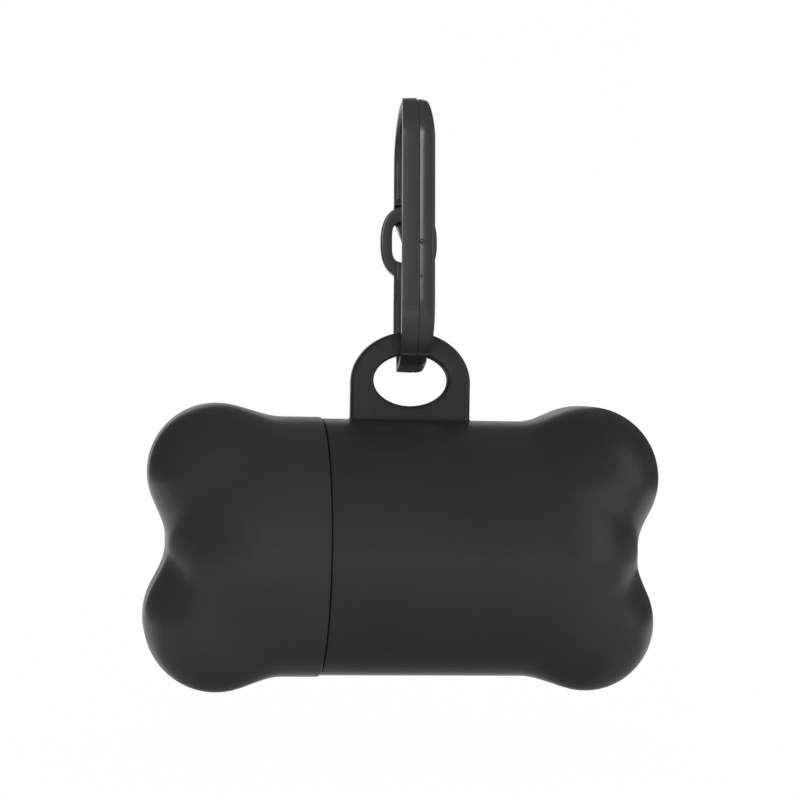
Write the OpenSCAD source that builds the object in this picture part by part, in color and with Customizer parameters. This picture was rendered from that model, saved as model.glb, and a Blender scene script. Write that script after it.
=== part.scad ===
// Bone-shaped dispenser for a roll of dog waste bags, with a snap clip.
// Lengths are in millimetres. X runs along the bone, +Z is up and the bags leave at the back, +Y.
// The origin is where the clip hangs: the inside of its top bend.

/* [Bone] */
// Length over the knobs at both ends
bone_l = 84.7; // [80:0.1:100]
// Radius of the round shaft between the knobs
shaft_r = 21.2; // [20:0.1:24]
// Middle radius of the four knobs
knob_r = 11.6; // [10.5:0.1:13]
// How much larger the upper right and lower left knobs are, and how much smaller the other two
knob_diff = 0.2; // [0:0.05:0.4]
// Height of the knobs' centres above and below the axis
knob_z = 11.8; // [10.5:0.1:13]
// How much higher the two upper knobs stand
knob_up = 0.3; // [0:0.05:0.5]
// Half of the straight length of each knob from front to back
knob_flat = 4.1; // [2:0.1:8]
// How far the waist between two knobs lies inside the bone's end
waist_in = 3.6; // [2.5:0.1:5]
// Rounding of the shaft's ends
end_r = 16; // [12:0.5:17]
// Width of the soft blend between knobs and shaft
blend = 2.6; // [1:0.1:5]

/* [Shells] */
// Wall of the long shell round the bag chamber
wall = 2.4; // [1.8:0.1:2.8]
// Rounding of the bag chamber's ends, which starts where the roll ends
chamber_end_r = 5; // [4:0.5:6]
// Place of the seam along the bone, from its middle
seam_x = -13.4; // [-16:0.1:-12]
// Gap that shows as the dark seam line
seam_gap = 0.15; // [0.1:0.05:0.4]
// How far the cap's rim stands proud of the long shell
cap_proud = 0.25; // [0:0.05:0.5]
// Wall of the cap over the spigot
cap_wall = 1.5; // [1.2:0.1:1.6]
// Length of the spigot that the cap pushes onto
spigot_l = 8; // [5:0.5:10]
// Radial clearance between spigot and cap
fit_gap = 0.05; // [0.02:0.01:0.1]
// Width of the key inside the cap that lines up the two halves
key_w = 2.4; // [1.5:0.1:4]
// Clearance on each side of the key
key_gap = 0.15; // [0.1:0.05:0.3]

/* [Bag outlet] */
// Angle of the outlet above the middle of the back
outlet_angle = 16; // [8:1:24]
// Place of the outlet along the bone, from its middle
outlet_x = 4; // [0:0.5:6]
// Length of the slot
slot_l = 28; // [20:0.5:30]
// Width of the slot
slot_w = 3.2; // [2.6:0.1:4]
// Diameter of the round hole in the middle of the slot
slot_hole_d = 9; // [6:0.5:11]

/* [Bag roll] */
// Number of bags on a full roll, with the one that is being pulled
bags = 15; // [15:1:15]
// Outer radius of the full roll
roll_r = 15; // [12:0.1:15.5]
// Length of the roll
roll_l = 55; // [50:0.5:56]
// Outer radius of the cardboard core
core_r = 6.5; // [5:0.1:8]
// Wall of the cardboard core
core_wall = 1; // [0.6:0.1:1.5]
// Gap between a loose piece and what it lies on
rest_gap = 0.3; // [0.2:0.05:0.5]
// Thickness of the folded film of the bag in the outlet
film_t = 0.8; // [0.4:0.1:1.2]
// Width of that film where it leaves the roll
film_w = 38.5; // [30:0.5:50]
// Length of film that stands out of the outlet
film_out = 7; // [2:0.5:20]

/* [Lug] */
// Place of the lug along the bone, from its middle
lug_x = 1.2; // [-3:0.1:6]
// Width of the lug
lug_w = 19.9; // [17:0.1:24]
// Thickness of the lug
lug_t = 3; // [2.4:0.1:4]
// Height of the lug above the shaft
lug_h = 14.6; // [13.5:0.1:17]
// Height of the lug's arched part
lug_arch = 8.5; // [7.8:0.1:9]
// Width of the eye
eye_w = 12.4; // [10:0.1:14]
// Height of the eye
eye_h = 8.5; // [7.5:0.1:9]
// Height of the eye's centre above the shaft
eye_z = 6.5; // [6:0.1:7]
// Rounding of the lug's edges
lug_edge = 0.7; // [0.4:0.1:1]

/* [Clip] */
// Depth of the clip over both limbs
clip_d = 19.5; // [18:0.5:24]
// Height of the clip above the lug's bearing line
clip_h = 42.4; // [40:0.1:50]
// Width of the clip's limbs
limb_w = 5.4; // [4.5:0.1:6.5]
// Width of the top bend
top_w = 4.2; // [3.6:0.1:5.4]
// Width of the near limb's foot, where the bar starts
foot_w = 4.9; // [4.6:0.1:5.2]
// Width of the bar that passes through the eye
bar_w = 4.4; // [4:0.1:4.6]
// Step down from the foot's outer face to the bar's
bar_step = 0.35; // [0.1:0.05:0.4]
// Radius of the near limb's bend into the bar
near_bend_r = 9; // [6:0.5:9]
// Thickness of the clip in its plane
clip_t = 2.3; // [2:0.1:2.6]
// Height of the shallow ridge along the outer face
ridge = 0.2; // [0.1:0.05:0.4]
// Gap between the clip and the lug that it hangs in
hang_gap = 0.5; // [0.45:0.05:0.6]
// Lean of the clip towards the back, as it stands in the eye
clip_lean = 10; // [0:1:14]
// Turn of the clip about the vertical
clip_turn = -2.8; // [-6:0.1:6]
// Place of the clip in the eye, from the eye's centre
clip_x = 0.5; // [-1:0.1:1]
// Slope of the bar at the near side of the clip
bar_slope = 25; // [15:1:30]
// Where the slope starts, from the clip's middle towards the near side
slope_from = 1.2; // [1:0.1:2]
// Flat width of the bar's upper side, whose edges are cut back to seat in the eye
bar_flat = 2.1; // [1.6:0.1:3]
// Depth of those cut-back edges
bar_relief = 0.6; // [0.5:0.1:0.8]

/* [Clip gate] */
// Height of the bending line above the lug's bearing line
flex_z = 2.2; // [2:0.1:3]
// Height of the ring's centre above the lug's bearing line
ring_z = 19.3; // [18:0.1:22]
// Sideways place of the ring, from the middle of the arm
ring_x = -0.25; // [-0.4:0.05:0.4]
// Width over the ring
ring_w = 9.6; // [9:0.1:11]
// Height over the ring
ring_h = 12.5; // [11.8:0.1:13.5]
// Width of the ring's opening
ring_in_w = 5.7; // [5.2:0.1:5.8]
// Height of the ring's opening
ring_in_h = 7.1; // [6.6:0.1:7.4]
// Thickness of the ring
ring_t = 1.7; // [1.4:0.1:1.9]
// Thickness of the tongue that carries the nose past the ring
tongue_t = 0.8; // [0.7:0.1:1]
// Width of the nose at its tip
tip_w = 1.8; // [1.4:0.1:2.4]
// Height over which the arm narrows below the ring
arm_taper = 4.2; // [3:0.1:5]
// Gap between the ring and the nose that catches it
nose_gap = 0.3; // [0.25:0.05:0.4]

/* [Hidden] */
$fn = 96;

// The bone
knob_x = bone_l / 2 - knob_r - knob_diff;
waist_x = bone_l / 2 - waist_in;
around = 64;
polar_step = 3.5;
polar_steps = 16;
search_from = 5;
search_steps = 20;
bore_r = shaft_r - wall;
spigot_r = shaft_r + cap_proud - cap_wall - fit_gap;

// The bag roll and the film's way from it to the outlet
roll_z = -(bore_r - roll_r - rest_gap);
layer = (roll_r - core_r) / (bags - 1);
layer_gap = 0.03;
mid_wall_r = shaft_r - wall / 2;
film_r = roll_r + rest_gap + film_t / 2;
outlet_y = mid_wall_r * cos(outlet_angle);
outlet_z = mid_wall_r * sin(outlet_angle);
film_span = norm([outlet_y, outlet_z - roll_z]);
film_angle = atan2(outlet_z - roll_z, outlet_y) - asin(film_r / film_span);
film_l = sqrt(film_span * film_span - film_r * film_r);
film_side_gap = 2;
film_gather = 3.8;

// The lug
eye_cz = shaft_r + eye_z;
arch_cz = shaft_r + lug_h - lug_arch;
lug_foot = 1.6;
lug_around = 48;
edge_steps = 3;

// The clip, whose own plane has u towards the back and w upwards from the bearing point
bearing = [lug_x + clip_x, 0, eye_cz + eye_h / 2 + lug_t / 2];
limb_u = (clip_d - clip_t) / 2;
bar_cw = -(lug_t / 2 + hang_gap + clip_t / 2);
top_cw = clip_h - clip_t / 2;
near_w = bar_cw + (limb_u - slope_from) * tan(bar_slope);
inside_top = clip_h - clip_t;
hang = bearing + turned([0, inside_top]);
arm_end = ring_z + ring_h / 2 + nose_gap;
ring_u = limb_u + clip_t / 2 - tongue_t - nose_gap - ring_t / 2;
bend_r = limb_u - 0.2;
foot_bend_r = 4.5;
seat_from = -limb_u / 2;
seat_step = 0.4;
kink_r = 3;
edge = 0.4;

function bag_name(i) = str("bag_", i < 10 ? "0" : "", i);

// Turns a point of the clip's plane to the bone's axes
function turned(p) =
    let (y = p[0] * cos(clip_lean) + p[1] * sin(clip_lean),
         z = -p[0] * sin(clip_lean) + p[1] * cos(clip_lean))
    [-y * sin(clip_turn), y * cos(clip_turn), z];

// Distance from the surface of a round bar along X with rounded ends
function shaft_d(p, r) =
    let (a = norm([p[1], p[2]]) - (r - end_r),
         b = abs(p[0]) - (waist_x - end_r))
    min(max(a, b), 0) + norm([max(a, 0), max(b, 0)]) - end_r;

// Distance from the nearest knob at one end, a short round bar from front to back with ball ends
function knob_d(p, end) =
    let (z = p[2] > 0 ? p[2] - knob_z - knob_up : p[2] + knob_z)
    norm([p[0] - knob_x, max(abs(p[1]) - knob_flat, 0), z]) - knob_r - knob_diff * end * sign(p[2]);

// The smaller of two distances, blended softly where they are close
function soft_min(a, b, k) =
    let (h = max(k - abs(a - b), 0) / k)
    min(a, b) - h * h * k / 4;

// Distance from the bone, whose end is 1 at the right, or -1 for the left end as seen in a mirror
function bone_d(p, r, end) = soft_min(shaft_d(p, r), knob_d(p, end), blend);

// How far the bone's surface lies from the middle in one direction
function reach(dir, r, end, lo, hi, steps) =
    steps == 0 ? (lo + hi) / 2 :
    let (mid = (lo + hi) / 2, inside = bone_d(dir * mid, r, end) < 0)
    reach(dir, r, end, inside ? mid : lo, inside ? hi : mid, steps - 1);

function bone_point(polar, turn, r, end) =
    let (dir = [cos(polar), sin(polar) * cos(turn), sin(polar) * sin(turn)])
    dir * reach(dir, r, end, search_from, bone_l, search_steps);

// A solid whose faces are listed anticlockwise as seen from outside
module solid(points, faces) {
    polyhedron(points, [for (f = faces) [for (k = [len(f) - 1 : -1 : 0]) f[k]]]);
}

// One end of the bone, from its tip to a flat face at distance cut_x from the middle
module bone_end(cut_x, r, end) {
    rings = concat(
        [for (i = [1 : polar_steps]) [for (j = [0 : around - 1])
            bone_point(i * polar_step, j * 360 / around, r, end)]],
        [[for (j = [0 : around - 1]) [cut_x, r * cos(j * 360 / around), r * sin(j * 360 / around)]]]
    );
    count = len(rings);
    points = concat([bone_point(0, 0, r, end)], [for (ring = rings) each ring], [[cut_x, 0, 0]]);
    last = len(points) - 1;
    faces = concat(
        [for (j = [0 : around - 1]) [0, 1 + j, 1 + (j + 1) % around]],
        [for (i = [0 : count - 2]) each [for (j = [0 : around - 1])
            let (a = 1 + i * around + j, b = 1 + i * around + (j + 1) % around)
            each [[a, a + around, b], [b, a + around, b + around]]]],
        [for (j = [0 : around - 1])
            let (a = 1 + (count - 1) * around + j, b = 1 + (count - 1) * around + (j + 1) % around)
            [a, last, b]]
    );
    solid(points, faces);
}

// A cylinder along X from x0 to x1
module bar_x(x0, x1, r) {
    translate([x0, 0, 0]) rotate([0, 90, 0]) cylinder(h = x1 - x0, r = r);
}

// The room for the roll in one end of the bone: a round bore with a rounded end
module chamber(x0) {
    straight = roll_l / 2 - x0;
    flat_r = bore_r - chamber_end_r;
    translate([x0, 0, 0]) rotate([0, 90, 0]) rotate_extrude()
        union() {
            square([bore_r, straight]);
            square([flat_r, straight + chamber_end_r]);
            intersection() {
                translate([flat_r, straight]) circle(r = chamber_end_r);
                translate([flat_r, straight]) square([chamber_end_r, chamber_end_r]);
            }
        }
}

// Points round the lug, or round its eye, set in by an amount
function lug_outline(inset) =
    let (a = lug_w / 2 - inset, b = lug_arch - inset, down = arch_cz - shaft_r + lug_foot)
    [for (i = [0 : lug_around - 1])
        let (t = i * 360 / lug_around)
        t <= 180 ? [a * cos(t), arch_cz + b * sin(t)] :
        let (s = min(a / max(abs(cos(t)), 0.001), down / abs(sin(t))))
        [s * cos(t), arch_cz + s * sin(t)]];

function eye_outline(inset) =
    [for (i = [0 : lug_around - 1])
        let (t = i * 360 / lug_around)
        [(eye_w / 2 + inset) * cos(t), eye_cz + (eye_h / 2 + inset) * sin(t)]];

// The lug: an arched plate with an eye, rounded along both rims
module lug() {
    half = [for (i = [0 : edge_steps])
        let (t = 90 * i / edge_steps)
        [lug_edge * (1 - sin(t)), lug_t / 2 - lug_edge + lug_edge * cos(t)]];
    layers = concat(
        [for (s = half) [s[0], -s[1]]],
        [for (i = [edge_steps : -1 : 0]) half[i]]
    );
    n = lug_around;
    m = len(layers);
    points = concat(
        [for (s = layers) each [for (q = lug_outline(s[0])) [lug_x + q[0], s[1], q[1]]]],
        [for (s = layers) each [for (q = eye_outline(s[0])) [lug_x + q[0], s[1], q[1]]]]
    );
    faces = concat(
        [for (k = [0 : m - 2]) each [for (i = [0 : n - 1])
            let (a = k * n + i, b = k * n + (i + 1) % n)
            each [[a, a + n, b], [b, a + n, b + n]]]],
        [for (k = [0 : m - 2]) each [for (i = [0 : n - 1])
            let (a = (m + k) * n + i, b = (m + k) * n + (i + 1) % n)
            each [[a, b, a + n], [b, b + n, a + n]]]],
        [for (i = [0 : n - 1])
            let (a = i, b = (i + 1) % n, c = m * n + i, d = m * n + (i + 1) % n)
            each [[a, b, c], [b, d, c]]],
        [for (i = [0 : n - 1])
            let (k = (m - 1) * n, a = k + i, b = k + (i + 1) % n, c = m * n + k + i,
                 d = m * n + k + (i + 1) % n)
            each [[a, c, b], [b, c, d]]]
    );
    solid(points, faces);
}

// The outlet's outline: a slot with round ends and a round hole in its middle
module outlet_shape() {
    square([slot_l - slot_w, slot_w], center = true);
    for (side = [-1, 1]) translate([side * (slot_l - slot_w) / 2, 0]) circle(d = slot_w);
    circle(d = slot_hole_d);
}

// Puts the origin in the outlet, with Z along the film's way out
module at_outlet() {
    translate([outlet_x, outlet_y, outlet_z]) rotate([film_angle - 90, 0, 0]) children();
}

// The long shell: two knobs, the shaft, the spigot for the cap, the lug and the bag outlet
module body_shell() {
    color("#2b2b2c") to_hang() difference() {
        union() {
            bone_end(seam_x, shaft_r, 1);
            bar_x(seam_x - spigot_l, seam_x + 1, spigot_r);
            lug();
        }
        chamber(seam_x - spigot_l - 1);
        translate([seam_x - spigot_l - 1, -key_w / 2 - key_gap, 0])
            cube([spigot_l + 1, key_w + 2 * key_gap, shaft_r]);
        at_outlet() translate([0, 0, -wall * 2]) linear_extrude(wall * 4) outlet_shape();
    }
}

// The cap: two knobs and a bore that slides over the spigot, with a key inside
module cap_shell() {
    mouth = seam_x - seam_gap;
    cap_r = shaft_r + cap_proud;
    key_in = (spigot_r + bore_r) / 2;
    key_back = 0.5;
    color("#2b2b2c") to_hang() union() {
        difference() {
            mirror([1, 0, 0]) bone_end(-mouth, cap_r, -1);
            mirror([1, 0, 0]) chamber(-mouth - 1);
            bar_x(mouth - spigot_l, mouth + 1, spigot_r + fit_gap);
        }
        translate([mouth - spigot_l - key_back, -key_w / 2, key_in])
            cube([spigot_l, key_w, spigot_r + cap_wall / 2 - key_in]);
    }
}

// A tube along X round the roll's own axis
module roll_tube(outer, inner) {
    to_hang() translate([0, 0, roll_z]) difference() {
        bar_x(-roll_l / 2, roll_l / 2, outer);
        bar_x(-roll_l / 2 - 1, roll_l / 2 + 1, inner);
    }
}

// The cardboard tube that the bags are wound on
module roll_core() {
    color("#b89a6e") roll_tube(core_r, core_r - core_wall);
}

// One wound bag, where 2 is the outermost and the last one lies on the core
module wound_bag(i) {
    outer = roll_r - (i - 2) * layer;
    color("#303338") roll_tube(outer, outer - layer + layer_gap);
}

// The first bag, whose film leaves the top of the roll and passes out through the slot
module leading_bag() {
    narrow = slot_l - slot_w - film_side_gap;
    color("#303338") to_hang() at_outlet() rotate([90, 0, 0])
        linear_extrude(film_t, center = true)
        polygon([[-film_w / 2, -film_l], [film_w / 2, -film_l],
                 [narrow / 2, -film_gather], [narrow / 2, film_out],
                 [-narrow / 2, film_out], [-narrow / 2, -film_gather]]);
}

// Points on the rounding of the corner b between a and c
function rounding(a, b, c, r, steps) =
    let (p = (a - b) / norm(a - b),
         q = (c - b) / norm(c - b),
         corner = acos(p * q),
         centre = b + (p + q) / norm(p + q) * r / sin(corner / 2),
         first = b + p * r / tan(corner / 2) - centre,
         last = b + q * r / tan(corner / 2) - centre,
         from = atan2(first[1], first[0]),
         to = atan2(last[1], last[0]),
         turn = to - from > 180 ? to - from - 360 : to - from < -180 ? to - from + 360 : to - from)
    [for (i = [0 : steps]) centre + r * [cos(from + turn * i / steps), sin(from + turn * i / steps)]];

// A path through corners given as [u, w, radius], with every corner rounded
function rounded_path(corners, steps) =
    let (n = len(corners), at = [for (c = corners) [c[0], c[1]]])
    concat([at[0]],
        [for (i = [1 : n - 2]) each rounding(at[i - 1], at[i], at[i + 1], corners[i][2], steps)],
        [at[n - 1]]);

// A value that runs smoothly from 0 to 1 while x runs from a to b
function ramp(x, a, b) =
    let (t = max(0, min(1, (x - a) / (b - a))))
    t * t * (3 - 2 * t);

// How far a low point of the clip has come from the near limb to the bar: 1 on to the far limb
function to_bar(p, from) = ramp(p[0], from, seat_from) * (p[0] > 0 ? 1 - ramp(p[1], 0, flex_z) : 1);

// How much of the bar's seat shows at a point of the clip's plane: 1 in the eye and 0 on the limbs
function seat(p) =
    p[1] > clip_h / 2 ? 0 :
    ramp(p[0], seat_from - seat_step, seat_from) * (1 - ramp(p[0], limb_u / 2, limb_u));

// Width of the clip at a point of its plane: narrow at the top and where the lug hangs
function clip_width(p) =
    let (up = max(0, min(1, (p[1] - top_cw + bend_r) / bend_r)))
    p[1] > clip_h / 2 ? top_w + (limb_w - top_w) * sqrt(1 - up * up) :
    limb_w - (limb_w - foot_w) * to_bar(p, -limb_u) - (foot_w - bar_w) * to_bar(p, seat_from - seat_step);

// The clip's cross-section as [across, outward], a flat bar with a ridge along its outer face
function clip_section(w, t, seated) =
    let (flat = (w / 2 - edge) * (1 - seated) + bar_flat / 2 * seated,
         deep = edge * (1 - seated) + bar_relief * seated,
         out = t / 2 - bar_step * seated)
    [[-flat, -t / 2], [flat, -t / 2], [w / 2, -t / 2 + deep], [w / 2, out - ridge],
     [0, out], [-w / 2, out - ridge], [-w / 2, -t / 2 + deep]];

// Sweeps the cross-section along a path in the clip's plane
module clip_sweep(path) {
    n = len(path);
    m = len(clip_section(1, 1, 0));
    heading = [for (i = [0 : n - 1])
        let (d = path[min(i + 1, n - 1)] - path[max(i - 1, 0)]) d / norm(d)];
    points = [for (i = [0 : n - 1]) each [for (s = clip_section(clip_width(path[i]), clip_t, seat(path[i])))
        [s[0], path[i][0] - heading[i][1] * s[1], path[i][1] + heading[i][0] * s[1]]]];
    faces = concat(
        [[for (k = [0 : m - 1]) k]],
        [for (i = [0 : n - 2]) each [for (k = [0 : m - 1])
            let (a = i * m + k, b = i * m + (k + 1) % m)
            each [[a, a + m, b], [b, a + m, b + m]]]],
        [[for (k = [m - 1 : -1 : 0]) (n - 1) * m + k]]
    );
    solid(points, faces);
}

// Moves a piece from the clip's own axes to its place in the lug
module at_clip() {
    translate(bearing) rotate([0, 0, clip_turn]) rotate([-clip_lean, 0, 0]) children();
}

// Puts a piece drawn from the middle of the bone where it hangs from the origin
module to_hang() {
    translate(-hang) children();
}

// Extrudes an outline of the clip's plane across the clip
module across(w) {
    rotate([90, 0, 90]) linear_extrude(w, center = true) children();
}

// The nose below the upper arm: a tongue past the ring, whose hook reaches inwards into the ring
module nose() {
    in_u = limb_u - clip_t / 2;
    out_u = limb_u + clip_t / 2 - ridge;
    thin_u = ring_u + ring_t / 2 + nose_gap;
    hook_u = ring_u - ring_t / 4;
    hook_top = ring_z + ring_in_h / 2 - nose_gap * 2;
    hook_h = 1;
    neck_w = ring_in_w - nose_gap * 4;
    shoulder = arm_end - ring_z;
    root = 1;
    intersection() {
        across(limb_w) polygon([
            [in_u, arm_end + root], [in_u, arm_end], [thin_u, arm_end], [thin_u, hook_top],
            [hook_u, hook_top - edge / 2], [hook_u, hook_top - hook_h], [thin_u, ring_z],
            [out_u, ring_z + edge], [out_u, arm_end + root]]);
        translate([ring_x, 0, ring_z]) rotate([90, 0, 0]) linear_extrude(4 * clip_d, center = true)
            polygon([[-tip_w / 2, 0], [tip_w / 2, 0], [neck_w / 2, ring_in_h / 2],
                     [limb_w / 2, shoulder], [limb_w / 2, shoulder + root],
                     [-limb_w / 2, shoulder + root], [-limb_w / 2, shoulder],
                     [-neck_w / 2, ring_in_h / 2]]);
    }
}

// The clip: the bar through the eye, the long limb, the top bend and the arm with the nose
module clip_frame() {
    color("#262626") to_hang() at_clip() union() {
        clip_sweep(rounded_path([
            [limb_u, flex_z, 0],
            [limb_u, bar_cw, foot_bend_r],
            [-slope_from, bar_cw, foot_bend_r],
            [-limb_u, near_w, near_bend_r],
            [-limb_u, top_cw, bend_r],
            [limb_u, top_cw, bend_r],
            [limb_u, arm_end + edge, 0]], 10));
        nose();
    }
}

// An oval with straight-ish sides: a power of 2 makes an ellipse, and more makes it squarer
function oval(w, h, power, steps) =
    [for (i = [0 : steps - 1])
        let (t = i * 360 / steps, c = cos(t), s = sin(t))
        [sign(c) * w / 2 * pow(abs(c), 2 / power), sign(s) * h / 2 * pow(abs(s), 2 / power)]];

// The gate: the springy lower arm, which ends in the ring that the nose catches in
module clip_gate() {
    color("#262626") to_hang() at_clip() union() {
        clip_sweep(rounded_path([
            [ring_u, ring_z - ring_in_h / 2 - edge, 0],
            [ring_u, ring_z - ring_h / 2 - edge, kink_r],
            [limb_u, ring_z - ring_h / 2 - arm_taper, kink_r],
            [limb_u, flex_z, 0]], 5));
        translate([ring_x, ring_u, ring_z]) rotate([90, 0, 0]) linear_extrude(ring_t, center = true)
            difference() {
                polygon(oval(ring_w, ring_h, 2.5, 48));
                polygon(oval(ring_in_w, ring_in_h, 4, 32));
            }
    }
}

body_shell();
cap_shell();
roll_core();
leading_bag();
clip_frame();
clip_gate();
for (i = [2 : bags]) wound_bag(i);
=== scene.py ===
from math import acos, asin, atan2, ceil, cos, exp, hypot, pi, radians, sin, sqrt, tan

import bmesh
import bpy
import numpy as np
from mathutils import Matrix, Vector


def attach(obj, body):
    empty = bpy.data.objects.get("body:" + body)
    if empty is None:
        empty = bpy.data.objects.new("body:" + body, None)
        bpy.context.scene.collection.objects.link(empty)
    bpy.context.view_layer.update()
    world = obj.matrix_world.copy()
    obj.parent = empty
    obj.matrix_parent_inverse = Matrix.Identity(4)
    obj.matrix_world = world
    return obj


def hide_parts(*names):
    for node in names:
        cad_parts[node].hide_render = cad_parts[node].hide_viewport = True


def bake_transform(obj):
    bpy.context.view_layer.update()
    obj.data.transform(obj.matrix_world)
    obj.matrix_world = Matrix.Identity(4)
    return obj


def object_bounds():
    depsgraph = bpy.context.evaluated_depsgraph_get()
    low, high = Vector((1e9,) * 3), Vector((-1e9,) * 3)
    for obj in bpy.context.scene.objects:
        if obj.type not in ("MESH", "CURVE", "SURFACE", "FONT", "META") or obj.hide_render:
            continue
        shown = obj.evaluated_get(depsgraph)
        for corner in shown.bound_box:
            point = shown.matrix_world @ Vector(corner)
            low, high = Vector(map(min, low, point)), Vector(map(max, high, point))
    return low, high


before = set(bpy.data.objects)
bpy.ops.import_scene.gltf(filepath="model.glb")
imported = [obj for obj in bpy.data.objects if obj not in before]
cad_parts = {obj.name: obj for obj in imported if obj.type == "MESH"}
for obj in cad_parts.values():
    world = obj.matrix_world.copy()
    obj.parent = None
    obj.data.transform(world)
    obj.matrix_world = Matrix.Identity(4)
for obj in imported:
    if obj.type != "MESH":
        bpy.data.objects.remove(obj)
cad_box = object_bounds()

# Sizes of the object, in millimetres from the middle of the bone, as the frame has them
BONE_L = 84.7
SHAFT_R = 21.2
KNOB_R = 11.6
KNOB_DIFF = 0.2
KNOB_Z = 11.8
KNOB_UP = 0.3
KNOB_FLAT = 4.1
WAIST_IN = 3.6
END_R = 16.0
BLEND = 2.6
WALL = 2.4
CHAMBER_END_R = 5.0
SEAM_X = -13.4
SEAM_GAP = 0.15
CAP_PROUD = 0.25
CAP_WALL = 1.5
SPIGOT_L = 8.0
FIT_GAP = 0.05
KEY_W = 2.4
KEY_GAP = 0.15
OUTLET_ANGLE = 16.0
OUTLET_X = 4.0
SLOT_L = 28.0
SLOT_W = 3.2
SLOT_HOLE_R = 4.5
ROLL_R = 15.0
ROLL_L = 55.0
CORE_R = 6.5
REST_GAP = 0.3
FILM_T = 0.8
FILM_W = 38.5
FILM_OUT = 7.0
LUG_X = 1.2
LUG_W = 19.9
LUG_T = 3.0
LUG_H = 14.6
LUG_ARCH = 8.5
EYE_W = 12.4
EYE_H = 8.5
EYE_Z = 6.5
LUG_EDGE = 0.75
CLIP_D = 19.5
CLIP_H = 42.4
LIMB_W = 5.4
TOP_W = 4.2
FOOT_W = 4.9
BAR_W = 4.4
BAR_STEP = 0.35
NEAR_BEND_R = 9.0
CLIP_T = 2.3
RIDGE = 0.2
HANG_GAP = 0.5
CLIP_LEAN = 10.0
CLIP_TURN = -2.8
CLIP_X = 0.5
BAR_SLOPE = 25.0
SLOPE_FROM = 1.2
BAR_FLAT = 2.1
BAR_RELIEF = 0.6
FLEX_Z = 2.2
RING_Z = 19.3
RING_X = -0.25
RING_W = 9.6
RING_H = 12.5
RING_IN_W = 5.7
RING_IN_H = 7.1
RING_T = 1.7
TONGUE_T = 0.8
TIP_W = 1.8
ARM_TAPER = 4.2
NOSE_GAP = 0.3

# Places that follow from those sizes
KNOB_X = BONE_L / 2 - KNOB_R - KNOB_DIFF
WAIST_X = BONE_L / 2 - WAIST_IN
BORE_R = SHAFT_R - WALL
CAP_R = SHAFT_R + CAP_PROUD
SPIGOT_R = CAP_R - CAP_WALL - FIT_GAP
ROLL_Z = -(BORE_R - ROLL_R - REST_GAP)
EYE_CZ = SHAFT_R + EYE_Z
ARCH_CZ = SHAFT_R + LUG_H - LUG_ARCH
LIMB_U = (CLIP_D - CLIP_T) / 2
BAR_CW = -(LUG_T / 2 + HANG_GAP + CLIP_T / 2)
TOP_CW = CLIP_H - CLIP_T / 2
NEAR_W = BAR_CW + (LIMB_U - SLOPE_FROM) * tan(radians(BAR_SLOPE))
ARM_END = RING_Z + RING_H / 2 + NOSE_GAP
RING_U = LIMB_U + CLIP_T / 2 - TONGUE_T - NOSE_GAP - RING_T / 2
BEND_R = LIMB_U - 0.2
FOOT_BEND_R = 4.5
KINK_R = 3.0
SEAT_FROM = -LIMB_U / 2
SEAT_STEP = 0.25
EDGE = 0.4
PLEAT_DEPTH = 1.0
TOP_TRIM = 0.45
CROWN_TILT = 20.0

BEARING = np.array([LUG_X + CLIP_X, 0.0, EYE_CZ + EYE_H / 2 + LUG_T / 2])


def clip_to_bone(points):
    """Points of the clip's own axes, across, back and up from the bearing, in the bone's axes."""
    p = np.asarray(points, float)
    lean, turn = radians(CLIP_LEAN), radians(CLIP_TURN)
    y = p[..., 1] * cos(lean) + p[..., 2] * sin(lean)
    z = -p[..., 1] * sin(lean) + p[..., 2] * cos(lean)
    x = p[..., 0]
    return np.stack([x * cos(turn) - y * sin(turn), x * sin(turn) + y * cos(turn), z], -1) + BEARING


HANG = clip_to_bone([0.0, 0.0, CLIP_H - CLIP_T])


def metres(points):
    """Points in millimetres from the middle of the bone, in metres of the frame."""
    return (np.asarray(points, float) - HANG) / 1000


# Camera, fitted to the bone's outline in the photo
CAMERA_DISTANCE = 418.9
CAMERA_TURN = 7.343
CAMERA_PITCH = -0.554
CAMERA_ROLL = 1.005
AIM_RIGHT = -0.431
AIM_UP = 24.443
HALF_FRAME = 400 / 2523.5


def add_camera():
    turn, pitch, roll = radians(CAMERA_TURN), radians(CAMERA_PITCH), radians(CAMERA_ROLL)
    level = np.array([sin(turn), cos(turn), 0.0])
    right = np.array([cos(turn), -sin(turn), 0.0])
    up = np.array([0.0, 0.0, 1.0])
    forward = cos(pitch) * level + sin(pitch) * up
    top = -sin(pitch) * level + cos(pitch) * up
    aim = AIM_RIGHT * right + AIM_UP * up
    rolled_right = right * cos(roll) + top * sin(roll)
    rolled_top = top * cos(roll) - right * sin(roll)
    axes = Matrix([list(rolled_right), list(rolled_top), list(-forward)]).transposed().to_4x4()
    data = bpy.data.cameras.new("camera")
    data.sensor_width = 36
    data.lens = data.sensor_width / 2 / HALF_FRAME
    data.clip_start = 0.01
    camera = bpy.data.objects.new("camera", data)
    camera.matrix_world = Matrix.Translation(Vector(metres(aim - CAMERA_DISTANCE * forward))) @ axes
    bpy.context.scene.collection.objects.link(camera)
    bpy.context.scene.camera = camera


# Meshes
def make_mesh(name, points, faces, sharp_angle=35):
    """A smooth-shaded piece, whose edges stay sharp past an angle."""
    mesh = bpy.data.meshes.new(name)
    mesh.from_pydata(metres(points).tolist(), [], [list(map(int, f)) for f in faces])
    mesh.validate()
    piece = bpy.data.objects.new(name, mesh)
    bpy.context.scene.collection.objects.link(piece)
    shade(piece, sharp_angle)
    return piece


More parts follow.
